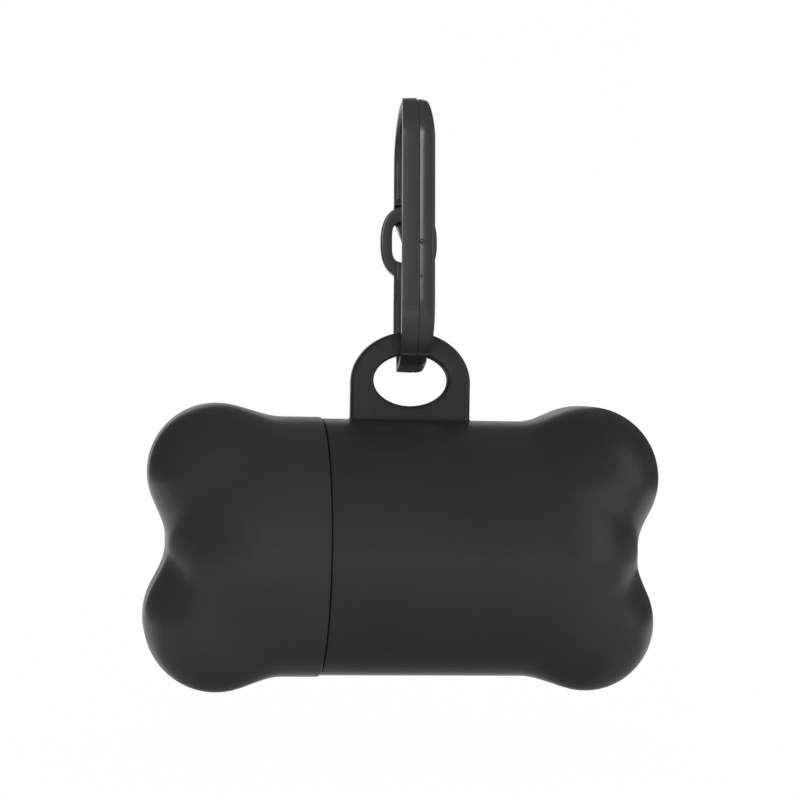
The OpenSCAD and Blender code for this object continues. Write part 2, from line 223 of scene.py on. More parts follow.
def shade(piece, sharp_angle):
    work = bmesh.new()
    work.from_mesh(piece.data)
    bmesh.ops.recalc_face_normals(work, faces=work.faces)
    for face in work.faces:
        face.smooth = True
    for edge in work.edges:
        if len(edge.link_faces) == 2:
            edge.smooth = edge.calc_face_angle(0) < radians(sharp_angle)
    work.to_mesh(piece.data)
    work.free()


def band_faces(count, around, start=0):
    """Faces between rings of points, where each ring is closed."""
    faces = []
    for i in range(count - 1):
        for j in range(around):
            a = start + i * around + j
            b = start + i * around + (j + 1) % around
            faces.append([a, b, b + around, a + around])
    return faces


def closed_rings(rings, first_point, last_point):
    """A closed surface through rings, with a fan at each end."""
    count, around = len(rings), len(rings[0])
    points = np.concatenate([np.reshape(rings, (-1, 3)), [first_point, last_point]])
    faces = band_faces(count, around)
    for j in range(around):
        k = (j + 1) % around
        faces.append([count * around, k, j])
        faces.append([count * around + 1, (count - 1) * around + j, (count - 1) * around + k])
    return points, faces


def cut(piece, cutter, operation="DIFFERENCE"):
    """Cuts a piece with another, which then goes."""
    modifier = piece.modifiers.new("cut", "BOOLEAN")
    modifier.operation = operation
    modifier.solver = "EXACT"
    modifier.object = cutter
    bpy.context.view_layer.update()
    graph = bpy.context.evaluated_depsgraph_get()
    result = bpy.data.meshes.new_from_object(piece.evaluated_get(graph))
    piece.modifiers.clear()
    old = piece.data
    piece.data = result
    bpy.data.meshes.remove(old)
    bpy.data.objects.remove(cutter)


def joined(name, pieces, sharp_angle=35):
    """One piece from several, which then go."""
    work = bmesh.new()
    for piece in pieces:
        work.from_mesh(piece.data)
    mesh = bpy.data.meshes.new(name)
    work.to_mesh(mesh)
    work.free()
    for piece in pieces:
        bpy.data.objects.remove(piece)
    whole = bpy.data.objects.new(name, mesh)
    bpy.context.scene.collection.objects.link(whole)
    shade(whole, sharp_angle)
    return whole


# The bone
AROUND = 192
POLAR_STEPS = 58


def soft_min(a, b, k):
    h = np.maximum(k - np.abs(a - b), 0) / k
    return np.minimum(a, b) - h * h * k / 4


def bone_distance(p, r):
    """How far a point is outside the bone's surface: a round shaft blended with four knobs."""
    a = np.hypot(p[..., 1], p[..., 2]) - (r - END_R)
    b = np.abs(p[..., 0]) - (WAIST_X - END_R)
    shaft = np.minimum(np.maximum(a, b), 0) + np.hypot(np.maximum(a, 0), np.maximum(b, 0)) - END_R
    dx = np.abs(p[..., 0]) - KNOB_X
    dy = np.maximum(np.abs(p[..., 1]) - KNOB_FLAT, 0)
    dz = np.where(p[..., 2] > 0, p[..., 2] - KNOB_Z - KNOB_UP, p[..., 2] + KNOB_Z)
    larger = KNOB_DIFF * np.sign(p[..., 0]) * np.sign(p[..., 2])
    knob = np.sqrt(dx * dx + dy * dy + dz * dz) - KNOB_R - larger
    return soft_min(shaft, knob, BLEND)


def bone_ring(polar, r, side):
    """The bone's surface where it stands at one angle to the bone's axis."""
    t = np.arange(AROUND) * 2 * pi / AROUND
    d = np.stack([np.full(AROUND, side * cos(polar)), sin(polar) * np.cos(t), sin(polar) * np.sin(t)], -1)
    low = np.full(AROUND, 5.0)
    high = np.full(AROUND, BONE_L)
    for _ in range(32):
        middle = (low + high) / 2
        inside = bone_distance(d * middle[:, None], r) < 0
        low = np.where(inside, middle, low)
        high = np.where(inside, high, middle)
    return d * low[:, None]


def round_ring(x, r):
    t = np.arange(AROUND) * 2 * pi / AROUND
    return np.stack([np.full(AROUND, x), r * np.cos(t), r * np.sin(t)], -1)


def corner_arc(x, r, radius, start, end, steps):
    """Points [x, r] on an arc round a corner's centre, for a profile that turns about the bone's axis."""
    return [[x + radius * cos(radians(start + (end - start) * i / steps)),
             r + radius * sin(radians(start + (end - start) * i / steps))] for i in range(steps + 1)]


def shell_rings(side, r, mouth, inner_profile):
    """Rings from the tip of one end over the shaft to the mouth, and on along the inside."""
    outer = [bone_ring(radians(56.0 * (i / POLAR_STEPS)), r, side) for i in range(1, POLAR_STEPS + 1)]
    from_x = side * r / tan(radians(56.0))
    count = ceil(abs(mouth - from_x) / 1.2)
    shaft = [round_ring(from_x + (mouth - from_x) * i / count, r) for i in range(1, count)]
    inner = [round_ring(x, radius) for x, radius in inner_profile]
    tip = bone_ring(0.0, r, side)[0]
    inner_end = [inner_profile[-1][0], 0.0, 0.0]
    return closed_rings(np.array(outer + shaft + inner), tip, inner_end)


def chamber_profile(side, bore_from):
    """The bore that holds the roll, and its rounded end."""
    round_x = side * ROLL_L / 2
    flat_r = BORE_R - CHAMBER_END_R
    bore = [[bore_from + (round_x - bore_from) * i / 12, BORE_R] for i in range(13)]
    arc = corner_arc(round_x, flat_r, CHAMBER_END_R, 90, 0 if side > 0 else 180, 12)[1:]
    return bore + arc + [[round_x + side * CHAMBER_END_R, flat_r / 2]]


def outlet_frame():
    """The outlet's middle, the film's way out and the direction across its thickness."""
    middle_r = SHAFT_R - WALL / 2
    y = middle_r * cos(radians(OUTLET_ANGLE))
    z = middle_r * sin(radians(OUTLET_ANGLE))
    film_r = ROLL_R + REST_GAP + FILM_T / 2
    span = hypot(y, z - ROLL_Z)
    angle = atan2(z - ROLL_Z, y) - asin(film_r / span)
    length = sqrt(span * span - film_r * film_r)
    out = np.array([0.0, cos(angle), sin(angle)])
    across = np.array([0.0, -sin(angle), cos(angle)])
    return np.array([OUTLET_X, y, z]), out, across, length


def prism(name, outline, start, end, origin, x_axis, y_axis, z_axis):
    """A straight prism over an outline, for cutting."""
    outline = np.array(outline)
    n = len(outline)
    rings = [origin + outline[:, :1] * x_axis + outline[:, 1:] * y_axis + h * z_axis for h in (start, end)]
    faces = band_faces(2, n) + [list(range(n)), list(range(n, 2 * n))[::-1]]
    return make_mesh(name, np.concatenate(rings), faces)


def slot_outline():
    """A slot with round ends and a wider round hole in the middle."""
    half = SLOT_L / 2 - SLOT_W / 2
    r = SLOT_W / 2
    meet = asin(r / SLOT_HOLE_R)
    points = []
    for side in (1, -1):
        turn = 0 if side > 0 else pi
        end = [[half + r * cos(a), r * sin(a)] for a in np.linspace(-pi / 2, pi / 2, 13)]
        hole = [[SLOT_HOLE_R * cos(a), SLOT_HOLE_R * sin(a)] for a in np.linspace(meet, pi - meet, 25)]
        for x, y in end + hole:
            points.append([x * cos(turn) - y * sin(turn), x * sin(turn) + y * cos(turn)])
    return points


def ellipse_points(cx, cz, a, b, n):
    t = np.arange(n) * 2 * pi / n
    return np.stack([cx + a * np.cos(t), cz + b * np.sin(t)], -1)


def lug_outline(inset, n):
    """The lug's outline: an arch above straight sides, down into the shaft."""
    a = LUG_W / 2 - inset
    b = LUG_ARCH - inset
    down = ARCH_CZ - SHAFT_R + 1.6
    points = []
    for i in range(n):
        t = i * 2 * pi / n
        if t <= pi:
            points.append([LUG_X + a * cos(t), ARCH_CZ + b * sin(t)])
        else:
            reach = min(a / max(abs(cos(t)), 0.001), down / abs(sin(t)))
            points.append([LUG_X + reach * cos(t), ARCH_CZ + reach * sin(t)])
    return np.array(points)


def lug_piece():
    """The arched plate with its eye, rounded along both rims, and a small fillet at its foot."""
    n = 160
    steps = 6
    half = [[LUG_EDGE * (1 - sin(pi / 2 * i / steps)),
             LUG_T / 2 - LUG_EDGE + LUG_EDGE * cos(pi / 2 * i / steps)] for i in range(steps + 1)]
    layers = [[inset, -y] for inset, y in half] + [[inset, y] for inset, y in half[::-1]]
    outer, inner = [], []
    for inset, y in layers:
        rim = lug_outline(inset, n)
        eye = ellipse_points(LUG_X, EYE_CZ, EYE_W / 2 + inset, EYE_H / 2 + inset, n)
        outer.append(np.stack([rim[:, 0], np.full(n, y), rim[:, 1]], -1))
        inner.append(np.stack([eye[:, 0], np.full(n, y), eye[:, 1]], -1))
    count = len(layers)
    points = np.concatenate(outer + inner)
    faces = band_faces(count, n) + [f[::-1] for f in band_faces(count, n, count * n)]
    for j in range(n):
        k = (j + 1) % n
        faces.append([j, k, count * n + k, count * n + j])
        last = (count - 1) * n
        faces.append([last + k, last + j, count * n + last + j, count * n + last + k])
    plate = make_mesh("lug_plate", points, faces)
    fillet = 0.45
    corner = LUG_EDGE
    path = []
    for cx, cy, start in ((1, 1, 0), (-1, 1, 90), (-1, -1, 180), (1, -1, 270)):
        for i in range(9):
            a = radians(start + 90 * i / 8)
            centre = [LUG_X + cx * (LUG_W / 2 - corner), cy * (LUG_T / 2 - corner)]
            path.append([centre[0] + corner * cos(a), centre[1] + corner * sin(a), cos(a), sin(a)])
    path = np.array(path)
    rings = []
    for i in range(7):
        a = pi / 2 * i / 6
        x = path[:, 0] + path[:, 2] * (fillet - fillet * cos(a) - 0.02)
        y = path[:, 1] + path[:, 3] * (fillet - fillet * cos(a) - 0.02)
        z = np.sqrt(SHAFT_R ** 2 - y * y) + fillet - fillet * sin(a) - 0.02
        rings.append(np.stack([x, y, z], -1))
    foot = make_mesh("lug_foot", np.concatenate(rings), band_faces(7, len(path)))
    return [plate, foot]


def body_shell():
    e = 0.22
    profile = corner_arc(SEAM_X + e, SHAFT_R - e, e, 90, 180, 4)
    profile += [[SEAM_X, SPIGOT_R + 0.12], [SEAM_X - 0.12, SPIGOT_R]]
    profile += [[SEAM_X - SPIGOT_L * i / 4, SPIGOT_R] for i in (1, 2, 3)]
    profile += [[SEAM_X - SPIGOT_L + 0.5, SPIGOT_R], [SEAM_X - SPIGOT_L, SPIGOT_R - 0.4],
                [SEAM_X - SPIGOT_L, BORE_R + 0.15]]
    profile += chamber_profile(1, SEAM_X - SPIGOT_L + 0.15)
    points, faces = shell_rings(1, SHAFT_R, SEAM_X + e, profile)
    shell = make_mesh("bone_body_shell", points, faces)
    origin, out, across, _ = outlet_frame()
    x_axis = np.array([1.0, 0.0, 0.0])
    cut(shell, prism("slot", slot_outline(), -WALL * 2, WALL * 2, origin, x_axis, -across, out))
    half = KEY_W / 2 + KEY_GAP
    notch = [[-half, 0], [half, 0], [half, SHAFT_R], [-half, SHAFT_R]]
    cut(shell, prism("notch", notch, SEAM_X - SPIGOT_L - 1, SEAM_X, np.zeros(3), np.array([0.0, 1.0, 0.0]),
                     np.array([0.0, 0.0, 1.0]), x_axis))
    soften_outlet(shell, origin)
    return joined("bone_body", [shell] + lug_piece())


def soften_outlet(shell, origin):
    """Rounds the slot's rim, outside and inside."""
    work = bmesh.new()
    work.from_mesh(shell.data)
    centre = Vector(metres(origin))
    rim = []
    for edge in work.edges:
        middle = (edge.verts[0].co + edge.verts[1].co) / 2 - centre
        near = abs(middle.x) < 0.016 and hypot(middle.y, middle.z) < 0.009
        if near and len(edge.link_faces) == 2 and edge.calc_face_angle(0) > radians(30):
            rim.append(edge)
    bmesh.ops.bevel(work, geom=rim, offset=0.00025, segments=2, profile=0.5, affect="EDGES",
                    clamp_overlap=True)
    work.to_mesh(shell.data)
    work.free()


def cap_shell():
    mouth = SEAM_X - SEAM_GAP
    e = 0.3
    bore = SPIGOT_R + FIT_GAP
    deep = mouth - SPIGOT_L
    profile = corner_arc(mouth - e, CAP_R - e, e, 90, 0, 4)
    profile += [[mouth, bore + 0.3], [mouth - 0.3, bore]]
    profile += [[mouth - SPIGOT_L * i / 4, bore] for i in (1, 2, 3)]
    profile += [[deep, bore], [deep, BORE_R + 0.1]]
    profile += chamber_profile(-1, deep - 0.1)
    points, faces = shell_rings(-1, CAP_R, mouth - e, profile)
    shell = make_mesh("cap_walls", points, faces)
    low = (SPIGOT_R + BORE_R) / 2
    high = SPIGOT_R + CAP_WALL / 2
    half = KEY_W / 2
    round_off = 0.25
    outline = [[-half, high], [-half, low + round_off], [-half + round_off, low], [half - round_off, low],
               [half, low + round_off], [half, high]]
    key = prism("key", outline, mouth - SPIGOT_L, mouth - 0.5, np.zeros(3), np.array([0.0, 1.0, 0.0]),
                np.array([0.0, 0.0, 1.0]), np.array([1.0, 0.0, 0.0]))
    return joined("bone_cap", [shell, key])


# The clip
def rounding(a, b, c, radius, steps):
    """Points on the rounding of the corner b between a and c."""
    a, b, c = (np.array(p, float) for p in (a, b, c))
    p = (a - b) / np.linalg.norm(a - b)
    q = (c - b) / np.linalg.norm(c - b)
    corner = acos(float(p @ q))
    centre = b + (p + q) / np.linalg.norm(p + q) * radius / sin(corner / 2)
    first = b + p * radius / tan(corner / 2) - centre
    last = b + q * radius / tan(corner / 2) - centre
    start = atan2(first[1], first[0])
    turn = (atan2(last[1], last[0]) - start + pi) % (2 * pi) - pi
    return [centre + radius * np.array([cos(start + turn * i / steps), sin(start + turn * i / steps)])
            for i in range(steps + 1)]


def rounded_path(corners, steps, spacing):
    """A path through corners [u, w, radius], with points at most a spacing apart."""
    points = [np.array(corners[0][:2], float)]
    for before, at, after in zip(corners, corners[1:], corners[2:]):
        points += rounding(before[:2], at[:2], after[:2], at[2], steps)
    points.append(np.array(corners[-1][:2], float))
    dense = [points[0]]
    for p in points[1:]:
        length = np.linalg.norm(p - dense[-1])
        if length < 1e-6:
            continue
        last = dense[-1]
        count = max(1, ceil(length / spacing))
        dense += [last + (p - last) * i / count for i in range(1, count + 1)]
    return np.array(dense)


def ramp(x, a, b):
    t = max(0.0, min(1.0, (x - a) / (b - a)))
    return t * t * (3 - 2 * t)


def to_bar(p, start):
    """How far a low point of the clip has come from the near limb to the bar: 1 on to the far limb."""
    back = 1 - ramp(p[1], 0, FLEX_Z) if p[0] > 0 else 1
    return ramp(p[0], start, SEAT_FROM) * back


def clip_width(p):
    if p[1] > CLIP_H / 2:
        up = max(0.0, min(1.0, (p[1] - TOP_CW + BEND_R) / BEND_R))
        return TOP_W + (LIMB_W - TOP_W) * sqrt(1 - up * up)
    return LIMB_W - (LIMB_W - FOOT_W) * to_bar(p, -LIMB_U) - (FOOT_W - BAR_W) * to_bar(p, SEAT_FROM - SEAT_STEP)


def seat(p):
    """How much of the bar's seat in the eye shows at a point of the path."""
    if p[1] > CLIP_H / 2:
        return 0.0
    return ramp(p[0], SEAT_FROM - SEAT_STEP, SEAT_FROM) * (1 - ramp(p[0], LIMB_U / 2, LIMB_U))


def softened(corners, steps=3):
    """An outline whose corners [x, y, reach] are rounded off."""
    points = []
    n = len(corners)
    for i in range(n):
        before, at, after = (np.array(corners[(i + k) % n][:2], float) for k in (-1, 0, 1))
        reach = corners[i][2]
        if reach == 0:
            points.append(at)
            continue
        start = at + (before - at) / np.linalg.norm(before - at) * reach
        end = at + (after - at) / np.linalg.norm(after - at) * reach
        for k in range(steps + 1):
            t = k / steps
            points.append((1 - t) ** 2 * start + 2 * t * (1 - t) * at + t * t * end)
    return np.array(points)


def clip_section(p):
    """The clip's cross-section as [across, outward]: outside, a crease parts a flat and a rounded half."""
    w = clip_width(p)
    s = seat(p)
    t = CLIP_T / 2
    top = ramp(p[1], TOP_CW - BEND_R, TOP_CW) if p[1] > CLIP_H / 2 else 0.0
    right = w / 2 - TOP_TRIM * top - 0.2 * s
    left = w / 2 + 0.3 * s
    flat = (w / 2 - EDGE) * (1 - s) + BAR_FLAT / 2 * s
    deep = EDGE * (1 - s) + BAR_RELIEF * s
    crease = (p[0] - SEAT_FROM + SEAT_STEP) / 0.12
    lip = 0.14 * exp(-crease * crease) if p[1] < 0 else 0.0
    outer = t - (BAR_STEP + 0.3) * s - 0.2 * top + lip
    round_top = outer - 0.04 - 0.15 * top
    crown = right * 0.48
    radius = (crown - 0.15) / sin(radians(CROWN_TILT))
    rounded = []
    for a in (0, CROWN_TILT / 4, CROWN_TILT / 2, CROWN_TILT * 3 / 4, CROWN_TILT):
        fall = radius * (1 - cos(radians(a))) * (1 - s)
        rounded.append([crown - radius * sin(radians(a)), round_top - fall, 0])
    return softened([
        [-flat, -t, 0.1], [flat, -t, 0.1], [right, -t + deep, 0.12], [right, outer - 0.45, 0.16],
        [right * 0.8, round_top - 0.12, 0.3], *rounded, [0.02, outer, 0.04], [-left, outer - 0.1, 0.1],
        [-left, -t + deep, 0.12]])


def clip_sweep(name, path, section=clip_section, close=(True, True)):
    """The section carried along a path in the clip's plane."""
    heading = np.gradient(path, axis=0)
    heading /= np.linalg.norm(heading, axis=1)[:, None]
    rings = []
    for p, h in zip(path, heading):
        s = section(p)
        rings.append(np.stack([s[:, 0], p[0] - h[1] * s[:, 1], p[1] + h[0] * s[:, 1]], -1))
    n = len(rings[0])
    faces = band_faces(len(rings), n)
    if close[0]:
        faces.append(list(range(n))[::-1])
    if close[1]:
        faces.append(list(range((len(rings) - 1) * n, len(rings) * n)))
    return make_mesh(name, clip_to_bone(np.concatenate(rings)), faces, 28)


def clip_prism(name, outline, half, sharp_angle=30):
    """An outline [back, up] of the clip's plane, extruded across the clip."""
    outline = np.array(outline, float)
    n = len(outline)
    rings = [np.stack([np.full(n, x), outline[:, 0], outline[:, 1]], -1) for x in (-half, half)]
    faces = band_faces(2, n) + [list(range(n)), list(range(n, 2 * n))[::-1]]
    return make_mesh(name, clip_to_bone(np.concatenate(rings)), faces, sharp_angle)


def bevelled(piece, width, segments, angle=30):
    """Rounds every sharp edge of a piece."""
    work = bmesh.new()
    work.from_mesh(piece.data)
    bmesh.ops.remove_doubles(work, verts=work.verts, dist=1e-7)
    edges = [e for e in work.edges if len(e.link_faces) == 2 and e.calc_face_angle(0) > radians(angle)]
    bmesh.ops.bevel(work, geom=edges, offset=width / 1000, segments=segments, profile=0.5, affect="EDGES",
                    clamp_overlap=True)
    work.to_mesh(piece.data)
    work.free()
    shade(piece, angle)


def nose_piece():
    """A tongue past the ring, whose hook reaches inwards into the ring."""
    in_u = LIMB_U - CLIP_T / 2
    out_u = LIMB_U + CLIP_T / 2 - RIDGE
    thin_u = RING_U + RING_T / 2 + NOSE_GAP
    hook_u = RING_U - RING_T / 4
    hook_top = RING_Z + RING_IN_H / 2 - NOSE_GAP * 2
    hook_h = 1.0
    neck_w = RING_IN_W - NOSE_GAP * 4
    shoulder = ARM_END - RING_Z
    root = 1.0
    side = [[in_u, ARM_END + root], [in_u, ARM_END], [thin_u, ARM_END], [thin_u, hook_top],
            [hook_u, hook_top - EDGE / 2], [hook_u, hook_top - hook_h], [thin_u, RING_Z],
            [out_u, RING_Z + EDGE], [out_u, ARM_END + root]]
    nose = clip_prism("nose", side, LIMB_W / 2)
    right = [[TIP_W / 2, 0], [neck_w / 2, RING_IN_H / 2], [LIMB_W / 2, shoulder], [LIMB_W / 2, shoulder + root]]
    front = np.array(right + [[-x, z] for x, z in right[::-1]])
    n = len(front)
    rings = [np.stack([front[:, 0] + RING_X, np.full(n, u), front[:, 1] + RING_Z], -1) for u in (-CLIP_D, CLIP_D)]
    faces = band_faces(2, n) + [list(range(n)), list(range(n, 2 * n))[::-1]]
    taper = make_mesh("taper", clip_to_bone(np.concatenate(rings)), faces)
    cut(nose, taper, "INTERSECT")
    bevelled(nose, 0.12, 2)
    return nose


def bump(name, u, w, across, height, length, out):
    """A small moulded pip on the outer face of a limb."""
    rings = []
    for i in range(1, 7):
        a = pi / 2 * i / 6
        t = np.arange(20) * 2 * pi / 20
        rings.append(np.stack([across + length[0] * sin(a) * np.cos(t),
                               np.full(20, u + out * (height * cos(a) - 0.02)),
                               w + length[1] * sin(a) * np.sin(t)], -1))
    points = np.concatenate(rings + [[[across, u + out * height, w]]])
    faces = band_faces(6, 20) + [[120, (j + 1) % 20, j] for j in range(20)]
    return make_mesh(name, clip_to_bone(points), faces)


def clip_frame():
    """The bar, the long limb, the top bend, the upper arm and the nose."""
    path = rounded_path([
        [LIMB_U, FLEX_Z, 0], [LIMB_U, BAR_CW, FOOT_BEND_R], [-SLOPE_FROM, BAR_CW, FOOT_BEND_R],
        [-LIMB_U, NEAR_W, NEAR_BEND_R], [-LIMB_U, TOP_CW, BEND_R], [LIMB_U, TOP_CW, BEND_R],
        [LIMB_U, ARM_END + EDGE, 0]], 110, 0.14)
    frame_piece = clip_sweep("frame_sweep", path, close=(False, True))
    outer_u = -(LIMB_U + CLIP_T / 2)
    pip = bump("pip", outer_u + 0.15, 15.6, 0.55, 0.3, (0.42, 0.5), -1)
    tick = bump("tick", outer_u + 0.1, 9.8, 0.4, 0.2, (0.16, 0.3), -1)
    return joined("clip_body", [frame_piece, nose_piece(), pip, tick], 28)


def oval(w, h, power, steps):
    t = np.arange(steps) * 2 * pi / steps
    c, s = np.cos(t), np.sin(t)
    return np.stack([np.sign(c) * w / 2 * np.abs(c) ** (2 / power),
                     np.sign(s) * h / 2 * np.abs(s) ** (2 / power)], -1)


def ring_piece():
    """The latch ring, a flat oval ring with rounded edges."""
    n = 96
    steps = 4
    e = 0.35
    half = [[e * (1 - sin(pi / 2 * i / steps)), RING_T / 2 - e + e * cos(pi / 2 * i / steps)]
            for i in range(steps + 1)]
    layers = [[inset, -y] for inset, y in half] + [[inset, y] for inset, y in half[::-1]]
    outer, inner = [], []
    for inset, y in layers:
        rim = oval(RING_W - 2 * inset, RING_H - 2 * inset, 2.5, n)
        eye = oval(RING_IN_W + 2 * inset, RING_IN_H + 2 * inset, 4, n)
        outer.append(np.stack([RING_X + rim[:, 0], np.full(n, RING_U + y), RING_Z + rim[:, 1]], -1))
        inner.append(np.stack([RING_X + eye[:, 0], np.full(n, RING_U + y), RING_Z + eye[:, 1]], -1))
    count = len(layers)
    points = np.concatenate(outer + inner)
    faces = band_faces(count, n) + [f[::-1] for f in band_faces(count, n, count * n)]
    for j in range(n):
        k = (j + 1) % n
        faces.append([j, k, count * n + k, count * n + j])
        last = (count - 1) * n
        faces.append([last + k, last + j, count * n + last + j, count * n + last + k])
    return make_mesh("ring", clip_to_bone(points), faces, 40)


def clip_gate():
    """The springy lower arm and its ring."""
    low = RING_Z - RING_H / 2
    path = rounded_path([
        [RING_U, RING_Z - RING_IN_H / 2 - EDGE, 0], [RING_U, low - EDGE, KINK_R], [LIMB_U, low - ARM_TAPER, KINK_R],
        [LIMB_U, FLEX_Z, 0]], 12, 0.35)
    arm = clip_sweep("arm", path, close=(True, False))
    return joined("clip_gate_arm", [arm, ring_piece()], 28)


# The bags
def winding():
    """The wound bags: one long folded film, wound in a spiral from the tube outwards."""
    turns = 26
    per_turn = 60
    rows = 30
    count = turns * per_turn + 1
    inner_r = CORE_R + 0.1
    t = np.arange(count) / per_turn * 2 * pi
    r = inner_r + (ROLL_R - 0.12 - inner_r) * np.arange(count) / (count - 1)
    x = np.linspace(-1, 1, rows)
    rng = np.random.default_rng(7)
    edge_wander = np.interp(np.arange(count), np.arange(0, count, 24), rng.normal(0, 0.16, len(range(0, count, 24))))
    points = np.zeros((count, rows, 3))
    half = ROLL_L / 2 - 0.35
    for k in range(rows):
        crease = 0.05 * np.sin(9 * x[k] + 1.3 * t) * np.sin(3.7 * x[k] - 0.6 * t)
        radius = r + crease * np.minimum(1, (r - inner_r) / 3)
        points[:, k, 0] = x[k] * half + edge_wander * x[k]
        points[:, k, 1] = -radius * np.sin(t)
        points[:, k, 2] = ROLL_Z + radius * np.cos(t)
    points[:, :, 0] = np.clip(points[:, :, 0], -ROLL_L / 2, ROLL_L / 2)
    faces = []
    for i in range(count - 1):
        for k in range(rows - 1):
            a = i * rows + k
            faces.append([a, a + 1, a + rows + 1, a + rows])
    return make_mesh("bag_winding", points.reshape(-1, 3), faces, 60)


def film_end():
    """The first bag's end: folded film that leaves the roll, gathers in fine pleats in the slot and hangs out."""
    origin, out, across, length = outlet_frame()
    wide = FILM_W / 2
    narrow = (SLOT_L - SLOT_W - 2) / 2
    pleat_count = 20
    rows, columns = 44, 400
    points = np.zeros((rows, columns, 3))
    v = np.linspace(-1, 1, columns)
    for i in range(rows):
        s = -length + (length + FILM_OUT - 0.3) * i / (rows - 1)
        gathered = ramp(s, -length, -3.8)
        half = wide + (narrow - wide) * gathered
        deep = PLEAT_DEPTH * sqrt(2 * ((wide / half) ** 2 - 1)) * half / (pi * pleat_count)
        pleats = deep * np.sin(pi * pleat_count * v + 0.8 * np.sin(5.1 * v + 0.12 * s) + 0.1 * s)
        drift = 0.1 * gathered * np.sin(v * 2.3 + s * 0.25)
        points[i] = origin + out * s
        points[i, :, 0] += v * half * (1 - 0.01 * gathered * np.cos(v * 21 + s))
        points[i] += across * (pleats + drift)[:, None]
        if i == rows - 1:
            points[i] -= out * (0.2 * np.abs(np.sin(v * 31)))[:, None]
    faces = []
    for i in range(rows - 1):
        for k in range(columns - 1):
            a = i * columns + k
            faces.append([a, a + 1, a + columns + 1, a + columns])
    return make_mesh("bag_film_end", points.reshape(-1, 3), faces, 80)


# Materials
def node_material(name):
    material = bpy.data.materials.new(name)
    material.use_nodes = True
    nodes = material.node_tree.nodes
    return material, nodes, material.node_tree.links, nodes["Principled BSDF"]


def noise(nodes, links, coordinates, scale, detail=2.0, roughness=0.5):
    node = nodes.new("ShaderNodeTexNoise")
    node.inputs["Scale"].default_value = scale
    node.inputs["Detail"].default_value = detail
    node.inputs["Roughness"].default_value = roughness
    links.new(coordinates, node.inputs["Vector"])
    return node


def spread(nodes, links, value, low, high):
    """Turns a texture's 0 to 1 into a range."""
    node = nodes.new("ShaderNodeMapRange")
    node.inputs["From Min"].default_value = 0.3
    node.inputs["From Max"].default_value = 0.7
    node.inputs["To Min"].default_value = low
    node.inputs["To Max"].default_value = high
    links.new(value, node.inputs["Value"])
    return node.outputs["Result"]


def colour_between(nodes, links, value, first, second):
    node = nodes.new("ShaderNodeValToRGB")
    node.color_ramp.elements[0].position = 0.3
    node.color_ramp.elements[0].color = (*first, 1)
    node.color_ramp.elements[1].position = 0.7
    node.color_ramp.elements[1].color = (*second, 1)
    links.new(value, node.inputs["Fac"])
    return node.outputs["Color"]


def black_plastic(name, dark, light, roughness, grain, grain_depth, coat):
    """Black moulded plastic: a fine even grain with slow changes of gloss, under a thin smooth skin."""
    material, nodes, links, shader = node_material(name)
    place = nodes.new("ShaderNodeTexCoord").outputs["Object"]
    slow = noise(nodes, links, place, 70, 2.0)
    fine = noise(nodes, links, place, grain, 3.0, 0.6)
    links.new(colour_between(nodes, links, slow.outputs["Fac"], dark, light), shader.inputs["Base Color"])
    links.new(spread(nodes, links, slow.outputs["Fac"], roughness - 0.03, roughness + 0.03),
              shader.inputs["Roughness"])
    bump_node = nodes.new("ShaderNodeBump")
    bump_node.inputs["Strength"].default_value = 0.3
    bump_node.inputs["Distance"].default_value = grain_depth
    links.new(fine.outputs["Fac"], bump_node.inputs["Height"])
    links.new(bump_node.outputs["Normal"], shader.inputs["Normal"])
    shader.inputs["IOR"].default_value = 1.45
    shader.inputs["Specular IOR Level"].default_value = 0.4
    shader.inputs["Coat Weight"].default_value = coat
    shader.inputs["Coat Roughness"].default_value = 0.17
    return material


def film_material():
    """Dark polyethylene film with fine creases along its length."""
    material, nodes, links, shader = node_material("bag_film")
    place = nodes.new("ShaderNodeTexCoord").outputs["Object"]
    mapping = nodes.new("ShaderNodeMapping")
    mapping.inputs["Scale"].default_value = (1.0, 0.25, 0.25)
    links.new(place, mapping.inputs["Vector"])
    creases = noise(nodes, links, mapping.outputs["Vector"], 900, 4.0, 0.6)
    slow = noise(nodes, links, place, 160, 2.0)
    links.new(colour_between(nodes, links, slow.outputs["Fac"], (0.018, 0.021, 0.027), (0.034, 0.038, 0.047)),
              shader.inputs["Base Color"])
    links.new(spread(nodes, links, creases.outputs["Fac"], 0.24, 0.42), shader.inputs["Roughness"])
    bump_node = nodes.new("ShaderNodeBump")
    bump_node.inputs["Strength"].default_value = 0.6
    bump_node.inputs["Distance"].default_value = 0.00018
    links.new(creases.outputs["Fac"], bump_node.inputs["Height"])
    links.new(bump_node.outputs["Normal"], shader.inputs["Normal"])
    return material


def cardboard_material():
    """Brown cardboard, with fibres and the faint spiral of its winding."""
    material, nodes, links, shader = node_material("cardboard")
    place = nodes.new("ShaderNodeTexCoord").outputs["Object"]
    mapping = nodes.new("ShaderNodeMapping")
    mapping.inputs["Scale"].default_value = (0.3, 1.0, 1.0)
    links.new(place, mapping.inputs["Vector"])
    fibres = noise(nodes, links, mapping.outputs["Vector"], 2600, 5.0, 0.65)
    links.new(colour_between(nodes, links, fibres.outputs["Fac"], (0.30, 0.20, 0.115), (0.44, 0.31, 0.19)),
              shader.inputs["Base Color"])
    links.new(spread(nodes, links, fibres.outputs["Fac"], 0.8, 0.95), shader.inputs["Roughness"])
    bump_node = nodes.new("ShaderNodeBump")
    bump_node.inputs["Strength"].default_value = 0.5
    bump_node.inputs["Distance"].default_value = 0.0001
    links.new(fibres.outputs["Fac"], bump_node.inputs["Height"])
    links.new(bump_node.outputs["Normal"], shader.inputs["Normal"])
    return material


def paint(piece, material):
    piece.data.materials.clear()
    piece.data.materials.append(material)


